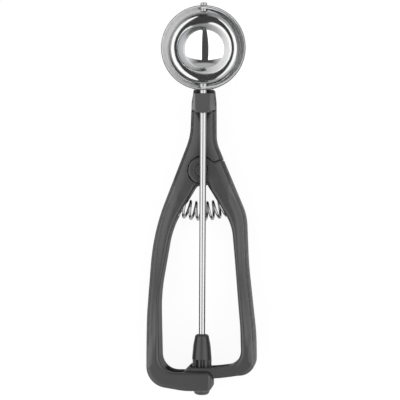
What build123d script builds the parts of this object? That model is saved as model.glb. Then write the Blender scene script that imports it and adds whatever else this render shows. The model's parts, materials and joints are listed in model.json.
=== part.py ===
"""Trigger scoop: squeezing the handles turns a rod, and the rod sweeps a blade round the bowl."""

import math
import os

from build123d import *

os.makedirs("parts", exist_ok=True)

# Driving dimensions, in millimetres and degrees. The scoop is drawn with its rod along Y, the bowl
# at +Y with its mouth towards +Z, and the handle pivot at Y = 0. The last section lays it down.

# Fits
RUNNING_GAP = 0.06
SEAT_GAP = 0.02
BODY_GAP = 0.35
SEAM_GAP = 0.3

# Bowl, blade and rivet
BOWL_INNER_R = 22.55
BOWL_WALL = 0.7
BOWL_SKIRT = 2.5
BOWL_Y = 67.15
BLADE_GAP = 0.25
BLADE_SHEET = 0.7
BLADE_WIDTH = 11.2
BLADE_LUG_WIDTH = 5.6
BLADE_LUG_RISE = 2.45
BLADE_REST = 20.5
RIVET_R = 1.2
RIVET_HEAD_R = 1.85
RIVET_HEAD_H = 1.6
RIVET_TAIL_H = 1.6
COLLAR_R = 2.5
COLLAR_H = 1.6

# Rod, boot and rack: the rack is a sector of a ring of RACK_ROUND teeth about the pivot
ROD_R = 1.8
MODULE = 1.1
PINION_TEETH = 7
RACK_ROUND = 200
PRESSURE_ANGLE = 20.0
PROFILE_SHIFT = 0.6
PINION_TIP_R = 5.35
BACKLASH = 0.5
TOOTH_LENGTH = 5.3
TOOTH_RISE = 4.2
TOOTH_SINK = 1.2
BOOT_LENGTH = 13.8
BOOT_TOP_R = 3.6
BOOT_WAIST_R = 4.75
BOOT_HUB_R = 2.9
BOOT_PIN_R = 0.6
SQUEEZE = 4.9

# Handles seen from the side
ROD_NECK_GAP = 0.8
NECK_DEPTH = 13.4
RIM_R = 2.0
LAP_DEPTH = 6.4
LAP_GAP = 0.5
ARM_LIP = 2.0
RACK_BACKING = 2.25
FOOT_PLATE = 2.6
SWELL_START_Y = -24.0
SWELL_END_Y = -102.0

# Handles seen from the front
PIVOT_X = -1.2
DISC_R = 7.35
TONGUE_R = 8.5
NECK_BOWL_GAP = 0.3
NECK_REACH = 0.7
NECK_LEFT = 7.45
NECK_LEFT_EASE = 0.55
NECK_LEFT_NARROWING = 2.4
NECK_RIGHT = 6.6
NECK_RIGHT_EASE = 0.2
NECK_RIGHT_NARROWING = 1.5
NECK_EASE_DROP = 7.0
NECK_WASTE = 4.0
SHOULDER_LEFT_Y = 18.6
SHOULDER_RIGHT_Y = 15.5
LEFT_SPAN = 29.75
LEFT_SPAN_Y = -80.0
LEFT_BEND_INSET = 1.7
LEFT_BEND_Y = -35.1
LEFT_ARM_WIDTH = 6.3
LEFT_ARM_Y = -68.0
LEFT_ELBOW = 5.9
LEFT_ELBOW_Y = -31.6
LEFT_CROTCH = 2.6
LEFT_CROTCH_Y = -8.2
RIGHT_SPAN = 29.6
RIGHT_SPAN_Y = -90.0
RIGHT_WAIST_INSET = 4.55
RIGHT_WAIST_Y = -52.0
RIGHT_BEND_INSET = 5.85
RIGHT_BEND_Y = -24.9
RIGHT_ARM_WIDTH = 7.75
RIGHT_ARM_Y = -86.0
RIGHT_ELBOW = 6.15
RIGHT_ELBOW_Y = -29.9
RIGHT_CROTCH = 1.9
RIGHT_CROTCH_Y = -6.0
ARM_TOP_DROP = 1.8
ARM_HEIGHT = 6.0
ARM_SINK = 0.7
ARM_HEEL = 1.7
END_STOP_RISE = 1.3
RACK_END = 4.4
RACK_END_CHAMFER = 3.2
LEVER_FOOT_INSET = 4.85
FOOT_RIGHT_X = 6.15
FOOT_STEP = 2.3
FOOT_FLOOR = 6.25
FOOT_CORNER_RISE = 3.3
FOOT_TOE_X = -9.0
GRIP_THICKNESS = 3.6
GRIP_GAP = 0.05

# Collar, shank and pivot
COVER_LENGTH = 11.0
COVER_TOP_DROP = 2.2
COVER_FRONT = 4.4
COVER_STEP = 2.2
COVER_PANEL = 4.2
COVER_CORNER = 1.4
COVER_UNDERCUT = 0.6
COVER_HEM = 0.15
COVER_ROOM = 0.2
COVER_PEG_R = 1.0
COVER_PEG_X = 4.5
COVER_PEG_H = 4.0
SHANK_WIDTH = 6.4
SHANK_SHEET = 1.4
SHANK_Z = -8.5
SHANK_BEND_R = 2.5
SHANK_WRAP = 42.0
SHANK_MOUTH = 1.2
TANG_LENGTH = 24.0
SHANK_PIN_R = 1.2
SHANK_PIN_INSET = 5.5
PIVOT_R = 2.0
PIVOT_HEAD_R = 3.4
PIVOT_HEAD_H = 1.1
PIVOT_HEAD_GAP = 0.12
WASHER_R = 5.0
RETAINER_R = 3.6
RETAINER_H = 0.6

# Return spring
WIRE_R = 0.75
COIL_R = 4.85
ARCH_R = 36.0
ARCH_Y = 13.4
SPRING_TURNS = 8.0
SPRING_FLAT_TURNS = 0.4
SPRING_START = 127.0
SPRING_ROOM = 0.35
SEAT_DEPTH = 3.5
SEAT_PEG_R = 3.4
SEAT_PEG_H = 2.5

# Lower bearing
BUSH_R = 3.3
BUSH_FLANGE_R = 4.3
BUSH_FLANGE_H = 0.45
CAP_R = 4.5
CAP_H = 2.9

# Levels and radii that follow from them
BOWL_OUTER_R = BOWL_INNER_R + BOWL_WALL
BLADE_R = BOWL_INNER_R - BLADE_GAP
PINION_R = MODULE * PINION_TEETH / 2
PINION_ROOT_R = PINION_R + MODULE * (PROFILE_SHIFT - 1.25)
RACK_R = MODULE * RACK_ROUND / 2
RACK_LINE = PINION_R + MODULE * PROFILE_SHIFT
RACK_TIP = RACK_LINE - MODULE
RACK_ROOT = RACK_LINE + 1.25 * MODULE
ARM_INNER_R = RACK_R - ARM_TOP_DROP
ARM_OUTER_R = ARM_INNER_R + ARM_HEIGHT
END_STOP_R = ARM_INNER_R - END_STOP_RISE
SLOT_FRONT = PINION_TIP_R + BODY_GAP + 0.1
ARM_FRONT = SLOT_FRONT + ARM_LIP
ARM_BACK = RACK_ROOT + RACK_BACKING
CHANNEL_FRONT = ARM_FRONT + SEAM_GAP
CHANNEL_BACK = ARM_BACK + SEAM_GAP
FOOT_FRONT = CHANNEL_FRONT + FOOT_PLATE
FOOT_BACK = CHANNEL_BACK + FOOT_PLATE
CHANNEL_R = ARM_OUTER_R + BODY_GAP
FOOT_BOTTOM_Y = -(CHANNEL_R + FOOT_FLOOR)
FOOT_TOP_Y = -(ARM_INNER_R + FOOT_STEP)
CHANNEL_FLOOR_Y = -math.sqrt(CHANNEL_R**2 - PIVOT_X**2)
NECK_FRONT = -(ROD_R + ROD_NECK_GAP)
NECK_BACK = NECK_FRONT - NECK_DEPTH
NECK_TOP_Y = BOWL_Y - BOWL_OUTER_R + NECK_REACH
LAP_FRONT = NECK_FRONT - LAP_DEPTH
LAP_BACK = LAP_FRONT - LAP_GAP
SPRING_Z = (NECK_FRONT + NECK_BACK) / 2
RATIO = RACK_ROUND / PINION_TEETH
LEFT_BEND_X = LEFT_BEND_INSET - LEFT_SPAN
LEFT_INNER_X = LEFT_ARM_WIDTH - LEFT_SPAN
RIGHT_BEND_X = RIGHT_SPAN - RIGHT_BEND_INSET
RIGHT_INNER_X = RIGHT_SPAN - RIGHT_ARM_WIDTH
LEVER_FOOT_X = RIGHT_INNER_X - LEVER_FOOT_INSET
REACH = 60.0


def about_pivot(radius, angle):
    """Point at a radius from the pivot, its angle in degrees from straight down towards +X."""
    turn = math.radians(angle)
    return PIVOT_X + radius * math.sin(turn), -radius * math.cos(turn)


def about_arch(radius, angle):
    """Point at a radius from the middle of the spring's arch, its angle measured the same way."""
    x, y = about_pivot(radius, angle)
    return x, y + ARCH_Y


def seat_angle(crotch, elbow):
    """Angle at which the spring's arch reaches the inner edge of an arm."""
    start_x, start_y = crotch[0] - PIVOT_X, crotch[1] - ARCH_Y
    along_x, along_y = elbow[0] - crotch[0], elbow[1] - crotch[1]
    square = along_x**2 + along_y**2
    half = start_x * along_x + start_y * along_y
    rest = start_x**2 + start_y**2 - ARCH_R**2
    share = (math.sqrt(half**2 - square * rest) - half) / square
    return math.degrees(math.atan2(start_x + share * along_x, -start_y - share * along_y))


def arm_angle(x, radius=RACK_R):
    """Angle from straight down at which a circle about the pivot passes over x."""
    return math.degrees(math.asin((x - PIVOT_X) / radius))


def ring_sector(plane, inner_r, outer_r, start, end):
    """Draw a ring sector about the pivot, its angles from straight down towards +X."""
    with BuildSketch(plane) as sector:
        with BuildLine():
            CenterArc((PIVOT_X, 0), outer_r, start - 90, end - start)
            Line(about_pivot(outer_r, end), about_pivot(inner_r, end))
            CenterArc((PIVOT_X, 0), inner_r, start - 90, end - start)
            Line(about_pivot(inner_r, start), about_pivot(outer_r, start))
        make_face()
    return sector.sketch


def at_height(y):
    """Plane square to the rod, drawn as (X, Z), that extrudes towards the foot."""
    return Plane.XZ.offset(-y)


def side_profile(foot_front, foot_back):
    """Draw a handle's side view: level at the neck and swelling to the foot's depth."""
    middle_y = (SWELL_START_Y + SWELL_END_Y) / 2
    with BuildSketch(Plane.YZ) as profile:
        with BuildLine():
            Line((2 * REACH, NECK_FRONT), (SWELL_START_Y, NECK_FRONT))
            Bezier(
                (SWELL_START_Y, NECK_FRONT),
                (middle_y, NECK_FRONT),
                (middle_y, foot_front),
                (SWELL_END_Y, foot_front),
            )
            Line((SWELL_END_Y, foot_front), (-3 * REACH, foot_front))
            Line((-3 * REACH, foot_front), (-3 * REACH, -foot_back))
            Line((-3 * REACH, -foot_back), (SWELL_END_Y, -foot_back))
            Bezier(
                (SWELL_END_Y, -foot_back),
                (middle_y, -foot_back),
                (middle_y, NECK_BACK),
                (SWELL_START_Y, NECK_BACK),
            )
            Line((SWELL_START_Y, NECK_BACK), (2 * REACH, NECK_BACK))
            Line((2 * REACH, NECK_BACK), (2 * REACH, NECK_FRONT))
        make_face()
    return profile.sketch


def rim_edges(part):
    """Edges round the front and the back of a handle, without the lines across them."""
    skins = [face for face in part.faces() if abs(face.normal_at().Z) > 0.9]
    edges = [edge for face in skins for edge in face.edges()]
    return [edge for edge in edges if sum(edge.is_same(other) for other in edges) == 1]


# Seam between the two handles, from the hinge disc over the notch to the right edge
SEAM_START = about_pivot(DISC_R + SEAM_GAP, 143.0)
SEAM_NOTCH = about_pivot(TONGUE_R, 122.6)
SEAM_RISE = 0.31
SEAM_FAR = (SEAM_NOTCH[0] + REACH, SEAM_NOTCH[1] + SEAM_RISE * REACH)
CROTCH_X = PIVOT_X - 0.4


# Frame handle blank: neck, left shoulder, left arm and foot, with rounded rims. On the right it
# runs past the seam, which is cut afterwards, so that both handles share one rounded edge there.
RIGHT_SLOPE = (RIGHT_BEND_X - NECK_RIGHT) / (RIGHT_BEND_Y - SHOULDER_RIGHT_Y)
BLANK_LOW_Y = -10.0
FRAME_OUTLINE = [
    (-(NECK_LEFT - NECK_LEFT_NARROWING), NECK_TOP_Y + NECK_WASTE),
    (-(NECK_LEFT - NECK_LEFT_EASE), NECK_TOP_Y - NECK_EASE_DROP),
    (-NECK_LEFT, SHOULDER_LEFT_Y),
    (LEFT_BEND_X, LEFT_BEND_Y),
    (-LEFT_SPAN, LEFT_SPAN_Y),
    (-LEFT_SPAN, FOOT_BOTTOM_Y + FOOT_CORNER_RISE),
    (FOOT_TOE_X, FOOT_BOTTOM_Y),
    (FOOT_RIGHT_X, FOOT_BOTTOM_Y),
    (FOOT_RIGHT_X, FOOT_TOP_Y),
    (LEFT_INNER_X + 1.3, FOOT_TOP_Y),
    (LEFT_INNER_X, LEFT_ARM_Y),
    (LEFT_INNER_X + LEFT_ELBOW, LEFT_ELBOW_Y),
    (PIVOT_X - LEFT_CROTCH, LEFT_CROTCH_Y),
    (PIVOT_X + 5.2, BLANK_LOW_Y - 0.5),
    (NECK_RIGHT + RIGHT_SLOPE * (BLANK_LOW_Y - SHOULDER_RIGHT_Y), BLANK_LOW_Y),
    (NECK_RIGHT, SHOULDER_RIGHT_Y),
    (NECK_RIGHT - NECK_RIGHT_EASE, NECK_TOP_Y - NECK_EASE_DROP),
    (NECK_RIGHT - NECK_RIGHT_NARROWING, NECK_TOP_Y + NECK_WASTE),
]
FRAME_ROUNDS = [2.6, 15, 34, 110, 200, 11.8, 30, 2.7, 2.7, 9.0, 100, 50, 2.6, 2.6, 2.6, 20, 15, 2.6]

with BuildPart() as frame_blank:
    with BuildSketch():
        with BuildLine():
            FilletPolyline(*FRAME_OUTLINE, radius=FRAME_ROUNDS, close=True)
        make_face()
    extrude(amount=REACH, both=True)
    extrude(side_profile(FOOT_FRONT, FOOT_BACK), amount=REACH, both=True, mode=Mode.INTERSECT)
    fillet(rim_edges(frame_blank.part), RIM_R)


# Lever handle blank: right shoulder and right arm down to its foot
LEVER_TOP_Y = 12.0
LEVER_END = arm_angle(LEVER_FOOT_X - 8.0)
LEVER_OUTLINE = [
    (NECK_RIGHT + RIGHT_SLOPE * (LEVER_TOP_Y - SHOULDER_RIGHT_Y), LEVER_TOP_Y),
    (PIVOT_X + RIGHT_CROTCH, LEVER_TOP_Y),
    (PIVOT_X + RIGHT_CROTCH, RIGHT_CROTCH_Y),
    (RIGHT_INNER_X - RIGHT_ELBOW, RIGHT_ELBOW_Y),
    (RIGHT_INNER_X - 0.55, RIGHT_ARM_Y),
    about_pivot(ARM_INNER_R + ARM_SINK, arm_angle(RIGHT_INNER_X, ARM_INNER_R)),
    about_pivot(ARM_INNER_R + 0.4, LEVER_END),
    about_pivot(ARM_OUTER_R - 0.4, LEVER_END),
    about_pivot(ARM_OUTER_R + ARM_HEEL, arm_angle(RIGHT_SPAN, ARM_OUTER_R)),
    (RIGHT_SPAN, RIGHT_SPAN_Y),
    (RIGHT_SPAN - RIGHT_WAIST_INSET, RIGHT_WAIST_Y),
    (RIGHT_BEND_X, RIGHT_BEND_Y),
]
LEVER_ROUNDS = [2.6, 2.6, 2.6, 27, 120, 8.8, 2.55, 2.55, 9.0, 120, 200, 30]

with BuildPart() as lever_blank:
    with BuildSketch():
        with BuildLine():
            FilletPolyline(*LEVER_OUTLINE, radius=LEVER_ROUNDS, close=True)
        make_face()
    extrude(amount=REACH, both=True)
    extrude(side_profile(ARM_FRONT, FOOT_BACK), amount=REACH, both=True, mode=Mode.INTERSECT)
    fillet(rim_edges(lever_blank.part), RIM_R)


# Soft grips: the outer half of each arm, cut from the blank along a line inside its outer edge
def left_grip_region(gap):
    """Draw the part of the left arm that the soft grip takes, grown by a gap."""
    inset = GRIP_THICKNESS + gap
    with BuildSketch() as region:
        with BuildLine():
            FilletPolyline(
                (LEFT_BEND_X - REACH, 2.6 * REACH + gap),
                (LEFT_BEND_X + 9.6 + inset, -9.5 + gap),
                (LEFT_BEND_X + inset, LEFT_BEND_Y + 0.8),
                (-LEFT_SPAN + inset, LEFT_SPAN_Y),
                (-LEFT_SPAN + inset, FOOT_TOP_Y + 4.0 - gap),
                (-LEFT_SPAN - REACH, FOOT_TOP_Y - REACH - gap),
                radius=[0, 8, 100, 190, 0, 0],
                close=True,
            )
        make_face()
    return region.sketch


def right_grip_region(gap):
    """Draw the part of the right arm that the soft grip takes, grown by a gap."""
    inset = GRIP_THICKNESS + gap
    with BuildSketch() as region:
        with BuildLine():
            FilletPolyline(
                (RIGHT_BEND_X + REACH, 2.6 * REACH + gap),
                (RIGHT_BEND_X - 7.0 - inset, -10.0 + gap),
                (RIGHT_BEND_X - inset, RIGHT_BEND_Y - 0.8),
                (RIGHT_SPAN - RIGHT_WAIST_INSET - inset, RIGHT_WAIST_Y),
                (RIGHT_SPAN - inset, RIGHT_SPAN_Y),
                (RIGHT_SPAN - inset, FOOT_TOP_Y + 6.0 - gap),
                (RIGHT_SPAN + REACH, FOOT_TOP_Y - REACH - gap),
                radius=[0, 8, 26, 190, 110, 0, 0],
                close=True,
            )
        make_face()
    return region.sketch


with BuildPart() as frame_grip:
    add(frame_blank.part)
    extrude(left_grip_region(0), amount=REACH, both=True, mode=Mode.INTERSECT)

with BuildPart() as lever_grip:
    add(lever_blank.part)
    extrude(right_grip_region(0), amount=REACH, both=True, mode=Mode.INTERSECT)


# Bowl: a spun hemisphere with a straight skirt, holed for the rod below and for the rivet above
with BuildPart() as bowl:
    with BuildSketch(Plane.XZ.offset(-BOWL_Y)):
        with BuildLine():
            Line((0, -BOWL_INNER_R), (0, -BOWL_OUTER_R))
            RadiusArc((0, -BOWL_OUTER_R), (BOWL_OUTER_R, 0), -BOWL_OUTER_R)
            Line((BOWL_OUTER_R, 0), (BOWL_OUTER_R, BOWL_SKIRT))
            Line((BOWL_OUTER_R, BOWL_SKIRT), (BOWL_INNER_R, BOWL_SKIRT))
            Line((BOWL_INNER_R, BOWL_SKIRT), (BOWL_INNER_R, 0))
            RadiusArc((BOWL_INNER_R, 0), (0, -BOWL_INNER_R), BOWL_INNER_R)
        make_face()
    revolve(axis=Axis((0, BOWL_Y, 0), (0, 0, 1)))
    rim = bowl.faces().sort_by(Axis.Z)[-1]
    fillet(rim.edges(), BOWL_WALL * 0.4)
    with Locations((0, BOWL_Y - BOWL_OUTER_R, 0)):
        Cylinder(ROD_R + RUNNING_GAP, BOWL_INNER_R, rotation=(90, 0, 0), mode=Mode.SUBTRACT)
    with Locations((0, BOWL_Y + BOWL_OUTER_R, 0)):
        Cylinder(RIVET_R + SEAT_GAP, BOWL_INNER_R, rotation=(90, 0, 0), mode=Mode.SUBTRACT)


# Shank: a strap that hugs the back of the bowl, bends down and ends as a tang inside the neck
WRAP_R = BOWL_OUTER_R + SHANK_SHEET / 2
BEND_DROP = math.sqrt((WRAP_R + SHANK_BEND_R) ** 2 - (SHANK_BEND_R - SHANK_Z) ** 2)
BEND_Y = BOWL_Y - BEND_DROP
WRAP_START = math.degrees(math.atan2(SHANK_BEND_R - SHANK_Z, BEND_DROP))
TANG_END_Y = NECK_TOP_Y - TANG_LENGTH
PIN_HEIGHTS = (NECK_TOP_Y - SHANK_PIN_INSET, TANG_END_Y + SHANK_PIN_INSET)


def on_bowl(angle):
    """Point of the strap's middle on the back of the bowl, as (Y, Z)."""
    turn = math.radians(angle)
    return BOWL_Y - WRAP_R * math.cos(turn), -WRAP_R * math.sin(turn)


with BuildPart() as bowl_shank:
    with BuildLine(Plane.YZ) as strap:
        Line((TANG_END_Y, SHANK_Z), (BEND_Y, SHANK_Z))
        TangentArc((BEND_Y, SHANK_Z), on_bowl(WRAP_START), tangent=(1, 0))
        ThreePointArc(
            on_bowl(WRAP_START),
            on_bowl(WRAP_START + SHANK_WRAP / 2),
            on_bowl(WRAP_START + SHANK_WRAP),
        )
    with BuildSketch(at_height(TANG_END_Y)):
        with Locations((0, SHANK_Z)):
            Rectangle(SHANK_WIDTH, SHANK_SHEET)
    sweep()
    with Locations((0, BOWL_Y, 0)):
        Sphere(BOWL_OUTER_R + SEAT_GAP, mode=Mode.SUBTRACT)
    for pin_y in PIN_HEIGHTS:
        with Locations((0, pin_y, SHANK_Z)):
            Cylinder(SHANK_PIN_R + SEAT_GAP, 4 * SHANK_SHEET, mode=Mode.SUBTRACT)

# Shank pins, pressed in from the back of the neck through the tang
PIN_FRONT = SHANK_Z + SHANK_SHEET / 2 + 1.8
PIN_LENGTH = PIN_FRONT - NECK_BACK
with BuildPart() as shank_pins:
    for pin_y in PIN_HEIGHTS:
        with Locations((0, pin_y, NECK_BACK)):
            Cylinder(SHANK_PIN_R, PIN_LENGTH, align=(Align.CENTER, Align.CENTER, Align.MIN))

# Tip rivet: its head outside the bowl, its tail inside behind the blade's top lug
RIVET_HEAD_Y = BOWL_Y + BOWL_OUTER_R + SEAT_GAP
LUG_INNER_Y = BOWL_Y + math.sqrt((BLADE_R - BLADE_SHEET) ** 2 - RIVET_HEAD_R**2)
RIVET_TAIL_Y = LUG_INNER_Y - RUNNING_GAP
with BuildPart() as tip_rivet:
    with BuildSketch(at_height(RIVET_HEAD_Y + RIVET_HEAD_H)):
        Circle(RIVET_HEAD_R)
    extrude(amount=RIVET_HEAD_H)
    with BuildSketch(at_height(RIVET_HEAD_Y)):
        Circle(RIVET_R)
    extrude(amount=RIVET_HEAD_Y - RIVET_TAIL_Y)
    with BuildSketch(at_height(RIVET_TAIL_Y)):
        Circle(RIVET_HEAD_R)
    extrude(amount=RIVET_TAIL_H)
    ends = tip_rivet.edges().filter_by(GeomType.CIRCLE).sort_by(Axis.Y)
    fillet([ends[0], ends[-1]], RIVET_HEAD_H * 0.3)

# Sweep blade: a strip of a spherical shell, wide in the middle, that ends in lugs on the rod's axis
blade_turn = math.radians(BLADE_REST - 90)
BLADE_PLANE = Plane(
    origin=(0, BOWL_Y, 0),
    x_dir=(math.cos(blade_turn), 0, -math.sin(blade_turn)),
    z_dir=(math.sin(blade_turn), 0, math.cos(blade_turn)),
)
with BuildPart() as sweep_blade:
    with BuildSketch(BLADE_PLANE.offset(BLADE_LUG_RISE)):
        half_lug = BLADE_LUG_WIDTH / 2
        with BuildLine():
            Line((-half_lug, BLADE_R), (half_lug, BLADE_R))
            ThreePointArc((half_lug, BLADE_R), (BLADE_WIDTH / 2, 0), (half_lug, -BLADE_R))
            Line((half_lug, -BLADE_R), (-half_lug, -BLADE_R))
            ThreePointArc((-half_lug, -BLADE_R), (-BLADE_WIDTH / 2, 0), (-half_lug, BLADE_R))
        make_face()
    extrude(amount=-2 * BLADE_R)
    with Locations((0, BOWL_Y, 0)):
        Sphere(BLADE_R, mode=Mode.INTERSECT)
        Sphere(BLADE_R - BLADE_SHEET, mode=Mode.SUBTRACT)
    with Locations((0, BOWL_Y - BLADE_R, 0)):
        Cylinder(ROD_R + SEAT_GAP, BLADE_R, rotation=(90, 0, 0), mode=Mode.SUBTRACT)
    with Locations((0, BOWL_Y + BLADE_R, 0)):
        Cylinder(RIVET_R + RUNNING_GAP, BLADE_R, rotation=(90, 0, 0), mode=Mode.SUBTRACT)

# Blade collar, on the end of the rod inside the bowl
BLADE_INNER_R = BLADE_R - BLADE_SHEET
COLLAR_Y = BOWL_Y - math.sqrt(BLADE_INNER_R**2 - COLLAR_R**2) + SEAT_GAP
with BuildPart() as blade_collar:
    with BuildSketch(at_height(COLLAR_Y + COLLAR_H)):
        Circle(COLLAR_R)
        Circle(ROD_R + SEAT_GAP, mode=Mode.SUBTRACT)
    extrude(amount=COLLAR_H)


# Drive rod, from the bearing in the foot to the collar in the bowl
TOOTH_LOW_Y = -(ARM_INNER_R + TOOTH_LENGTH)
TOOTH_TOP_Y = -(ARM_INNER_R - TOOTH_RISE)
BOOT_TOP_Y = TOOTH_TOP_Y + BOOT_LENGTH
BOOT_PIN_Y = BOOT_TOP_Y - BOOT_LENGTH * 0.5
BUSH_TOP_Y = CHANNEL_FLOOR_Y + BUSH_FLANGE_H
ROD_LOW_Y = FOOT_BOTTOM_Y + 1.2
ROD_TOP_Y = COLLAR_Y + COLLAR_H
with BuildPart() as drive_rod:
    with BuildSketch(at_height(ROD_TOP_Y)):
        Circle(ROD_R)
    extrude(amount=ROD_TOP_Y - ROD_LOW_Y)
    chamfer(drive_rod.edges().filter_by(GeomType.CIRCLE), 0.3)
    with Locations((0, BOOT_PIN_Y, 0)):
        Cylinder(BOOT_PIN_R + SEAT_GAP, 4 * ROD_R, rotation=(0, 90, 0), mode=Mode.SUBTRACT)

# Boot pin, across the boot and the rod
BOOT_PIN_LENGTH = 2 * (BOOT_WAIST_R - 0.6)
with BuildPart() as boot_pin:
    with Locations((0, BOOT_PIN_Y, 0)):
        Cylinder(BOOT_PIN_R, BOOT_PIN_LENGTH, rotation=(0, 90, 0))


# Pinion boot: a tapered boot whose lower end is cut into involute teeth
def involute(radius):
    """Involute angle, in radians, of a pinion flank at a radius."""
    lean = math.acos(PINION_R * math.cos(math.radians(PRESSURE_ANGLE)) / radius)
    return math.tan(lean) - lean


def space_point(radius, side):
    """Point on the flank of the tooth space round the +X direction, on one side of it."""
    pressure = math.radians(PRESSURE_ANGLE)
    half_tooth = (math.pi / 2 + 2 * PROFILE_SHIFT * math.tan(pressure)) / PINION_TEETH
    half_tooth += involute(PINION_R) - involute(radius)
    half_space = math.pi / PINION_TEETH - half_tooth
    return radius * math.cos(half_space), side * radius * math.sin(half_space)


TOOTH_PITCH = 360 / PINION_TEETH
FIRST_SPACE = TOOTH_PITCH / 2
BACK_SPACE = FIRST_SPACE + TOOTH_PITCH * round((-90 - FIRST_SPACE) / TOOTH_PITCH)
SPACE_LEAN = BACK_SPACE + 90
FLANK_LOW_R = PINION_R * math.cos(math.radians(PRESSURE_ANGLE)) + 0.001
FLANK_MIDDLE_R = (FLANK_LOW_R + PINION_TIP_R) / 2
SPACE_OUT = 1.3
with BuildSketch() as tooth_space:
    with BuildLine():
        for side in (-1, 1):
            low = space_point(FLANK_LOW_R, side)
            tip = space_point(PINION_TIP_R, side)
            Line((PINION_ROOT_R, low[1]), low)
            ThreePointArc(low, space_point(FLANK_MIDDLE_R, side), tip)
            Line(tip, (tip[0] * SPACE_OUT, tip[1] * SPACE_OUT))
        tip = space_point(PINION_TIP_R, 1)
        Line((PINION_ROOT_R, -low[1]), (PINION_ROOT_R, low[1]))
        Line((tip[0] * SPACE_OUT, -tip[1] * SPACE_OUT), (tip[0] * SPACE_OUT, tip[1] * SPACE_OUT))
    make_face()

with BuildPart() as pinion_boot:
    with BuildSketch(Plane.XY):
        with BuildLine():
            FilletPolyline(
                (0, BOOT_TOP_Y),
                (BOOT_TOP_R, BOOT_TOP_Y),
                (BOOT_WAIST_R, BOOT_TOP_Y - BOOT_LENGTH * 0.44),
                (PINION_TIP_R, BOOT_TOP_Y - BOOT_LENGTH * 0.94),
                (PINION_TIP_R, TOOTH_LOW_Y),
                (BOOT_HUB_R, TOOTH_LOW_Y),
                (BOOT_HUB_R, BUSH_TOP_Y + RUNNING_GAP),
                (0, BUSH_TOP_Y + RUNNING_GAP),
                radius=[0, 1.6, 20, 20, 0, 0, 0, 0],
                close=True,
            )
        make_face()
    revolve(axis=Axis.Y)
    with BuildSketch(at_height(TOOTH_TOP_Y)):
        with PolarLocations(0, PINION_TEETH, start_angle=FIRST_SPACE):
            add(tooth_space.sketch)
    extrude(amount=TOOTH_TOP_Y - TOOTH_LOW_Y + RUNNING_GAP, mode=Mode.SUBTRACT)
    with Locations((0, BOOT_TOP_Y, 0)):
        Cylinder(ROD_R + SEAT_GAP, 4 * BOOT_LENGTH, rotation=(90, 0, 0), mode=Mode.SUBTRACT)
    with Locations((0, BOOT_PIN_Y, 0)):
        Cylinder(BOOT_PIN_R + SEAT_GAP, BOOT_PIN_LENGTH, rotation=(0, 90, 0), mode=Mode.SUBTRACT)


# Pivot: pin with a flat head in front, washer in the lap, push-on retainer behind
RETAINER_Z = NECK_BACK + RETAINER_H
with BuildPart() as pivot_pin:
    with BuildSketch(Plane.XY.offset(NECK_BACK + 0.2)):
        with Locations((PIVOT_X, 0)):
            Circle(PIVOT_R)
    extrude(amount=NECK_FRONT - NECK_BACK - 0.3)
    with BuildSketch(Plane.XY.offset(NECK_FRONT - 0.1)):
        with Locations((PIVOT_X, 0)):
            Circle(PIVOT_HEAD_R)
    extrude(amount=-PIVOT_HEAD_H)
    fillet(pivot_pin.edges().filter_by(GeomType.CIRCLE).sort_by(Axis.Z)[-1], 0.3)

with BuildPart() as pivot_washer:
    with BuildSketch(Plane.XY.offset(LAP_BACK + RUNNING_GAP)):
        with Locations((PIVOT_X, 0)):
            Circle(WASHER_R)
            Circle(PIVOT_R + SEAT_GAP, mode=Mode.SUBTRACT)
    extrude(amount=LAP_GAP - 2 * RUNNING_GAP)

with BuildPart() as pivot_retainer:
    with BuildSketch(Plane.XY.offset(RETAINER_Z)):
        with Locations((PIVOT_X, 0)):
            Circle(RETAINER_R)
            Circle(PIVOT_R + SEAT_GAP, mode=Mode.SUBTRACT)
    extrude(amount=RETAINER_H)
RETAINER_SEAT = RETAINER_Z + RETAINER_H + SEAT_GAP


# Neck cover: a wedge-sided collar over the rod, in a recess of the neck, with two pegs
COVER_TOP_Y = NECK_TOP_Y - COVER_TOP_DROP
COVER_LOW_Y = COVER_TOP_Y - COVER_LENGTH
COVER_BACK = NECK_FRONT - COVER_STEP
COVER_SIDE_Y = COVER_LOW_Y + COVER_UNDERCUT + COVER_CORNER
EASE_Y = NECK_TOP_Y - NECK_EASE_DROP


def neck_side(y, half_width, ease, narrowing):
    """Half width of the neck at a height, above or below the bend in its side."""
    if y > EASE_Y:
        share = (y - EASE_Y) / (NECK_EASE_DROP + NECK_WASTE)
        return half_width - ease - (narrowing - ease) * share
    return half_width - ease * (y - SHOULDER_LEFT_Y) / (EASE_Y - SHOULDER_LEFT_Y)


def cover_left(y):
    """Left edge of the cover's base at a height."""
    return COVER_HEM - neck_side(y, NECK_LEFT, NECK_LEFT_EASE, NECK_LEFT_NARROWING)


def cover_right(y):
    """Right edge of the cover's base at a height."""
    return neck_side(y, NECK_RIGHT, NECK_RIGHT_EASE, NECK_RIGHT_NARROWING) - COVER_HEM


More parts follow.
